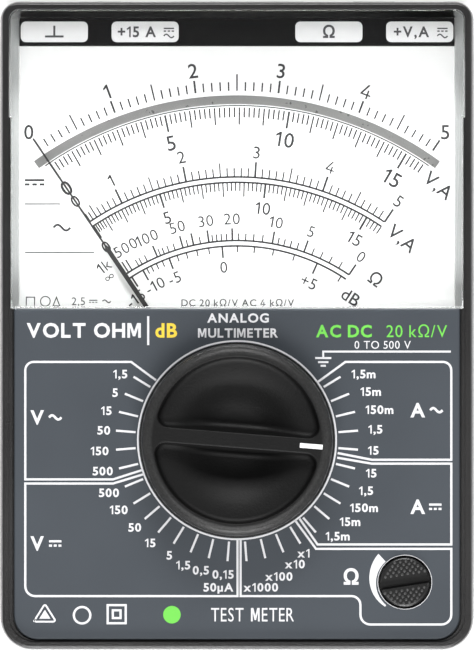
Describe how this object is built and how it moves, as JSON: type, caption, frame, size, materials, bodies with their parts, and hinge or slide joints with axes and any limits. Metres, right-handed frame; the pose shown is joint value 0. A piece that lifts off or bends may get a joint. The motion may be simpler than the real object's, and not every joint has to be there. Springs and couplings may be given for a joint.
{
  "type": "analog multimeter",
  "caption": "Pocket analog multimeter lying on its back: mirror-scale dial under a clear window, rotary range selector, ohm zero adjuster and 4 mm sockets in the end wall.",
  "frame": {"origin": "middle of the footprint, on the plane the feet stand on", "axes": "+X to the right of the dial, +Y toward the terminal end, +Z out of the face"},
  "size_m": [0.092, 0.126, 0.045],
  "materials": {
    "case_plastic": "dark grey moulded plastic with a fine spark-eroded grain",
    "knob_black": "black moulded plastic, fine grain",
    "black_plastic": "black moulded plastic, smooth",
    "pointer_black": "thin aluminium, lacquered matt black",
    "print_white": "white insert",
    "plate_grey": "slate grey face plate, satin",
    "dial_white": "aluminium sheet, lacquered white",
    "mirror": "reflecting band",
    "clear_acrylic": "clear moulded acrylic",
    "rubber": "black rubber",
    "steel": "zinc-plated steel",
    "soft_iron": "soft iron, bright-plated",
    "magnet": "ground magnet alloy",
    "nickel": "nickel-plated spring metal",
    "brass": "bright brass",
    "copper": "enamelled or bare copper alloy",
    "gold_track": "gilded track",
    "aluminium": "bare aluminium",
    "frame_plastic": "glass-filled plastic carrier",
    "board_green": "epoxy board with green solder resist",
    "cell_jacket": "printed sleeve over a steel can",
    "fuse_glass": "clear glass tube",
    "resistor_blue": "lacquered metal-film body",
    "trimmer_blue": "blue plastic housing",
    "capacitor_black": "sleeved can"
  },
  "bodies": {
    "case": {"band_anchor_front": "brass", "battery_cell": "cell_jacket", "battery_contacts": "nickel", "capacitor": "capacitor_black", "case_screws": "steel", "core_magnet": "magnet", "core_spacers": "brass", "detent_ball": "steel", "detent_spring": "steel", "dial_mirror": "mirror", "dial_plate": "dial_white", "dial_screws": "steel", "face_plate": "plate_grey", "front_bridge": "brass", "front_case": "case_plastic", "fuse_caps": "nickel", "fuse_clips": "nickel", "fuse_tubes": "fuse_glass", "jack_shrouds": "black_plastic", "jack_sleeve_1": "brass", "jack_sleeve_2": "brass", "jack_sleeve_3": "brass", "jack_sleeve_4": "brass", "jack_straps": "copper", "link_pins": "brass", "main_board": "board_green", "main_board_screws": "steel", "movement_frame": "frame_plastic", "movement_screws": "steel", "ohm_pot": "black_plastic", "rear_case": "case_plastic", "resistor_leads": "nickel", "resistors": "resistor_blue", "rubber_feet": "rubber", "shunt_bar": "copper", "switch_board": "board_green", "switch_board_screws": "steel", "switch_tracks": "gold_track", "taut_bands": "brass", "terminal_strip": "black_plastic", "trimmer_screws": "brass", "trimmers": "trimmer_blue", "window": "clear_acrylic", "yoke_ring": "soft_iron"},
    "selector": {"selector_knob": "knob_black", "knob_index": "print_white", "switch_rotor": "black_plastic", "rotor_screw": "steel", "wiper_contacts": "brass"},
    "moving_coil": {"coil_former": "aluminium", "coil_winding": "copper", "coil_hubs": "black_plastic", "pointer": "pointer_black", "balance_weights": "brass"},
    "ohm_adjuster": {"ohm_knob": "knob_black"},
    "zero_screw": {"zero_screw": "black_plastic"},
    "zero_lever": {"zero_lever": "brass"},
    "battery_cover": {"battery_cover": "case_plastic", "battery_cover_screws": "steel"}
  },
  "joints": [
    {"name": "selector_turn", "type": "hinge", "parent": "case", "child": "selector", "pos_m": [0, -0.0222, 0.04], "axis": [0, 0, 1], "range_deg": [-207, 36]},
    {"name": "pointer_swing", "type": "hinge", "parent": "case", "child": "moving_coil", "pos_m": [0, -0.0224, 0.026], "axis": [0, 0, 1], "range_deg": [-70, 2], "stiffness_Nm_per_rad": 0.00001},
    {"name": "ohm_adjust", "type": "hinge", "parent": "case", "child": "ohm_adjuster", "pos_m": [0.0325, -0.0497, 0.036], "axis": [0, 0, 1], "range_deg": [-140, 140]},
    {"name": "zero_adjust", "type": "hinge", "parent": "case", "child": "zero_screw", "pos_m": [0, -0.0134, 0.002], "axis": [0, 0, 1], "range_deg": [-30, 30]},
    {"name": "zero_lever_turn", "type": "hinge", "parent": "case", "child": "zero_lever", "pos_m": [0, -0.0224, 0.005], "axis": [0, 0, 1], "range_deg": [-3, 3]},
    {"name": "cover_off", "type": "slide", "parent": "case", "child": "battery_cover", "axis": [0, 0, -1], "range_m": [0, 0.025]}
  ],
  "couplings": [
    {"joint": "zero_lever_turn", "follows": "zero_adjust", "ratio": -0.097561}
  ]
}
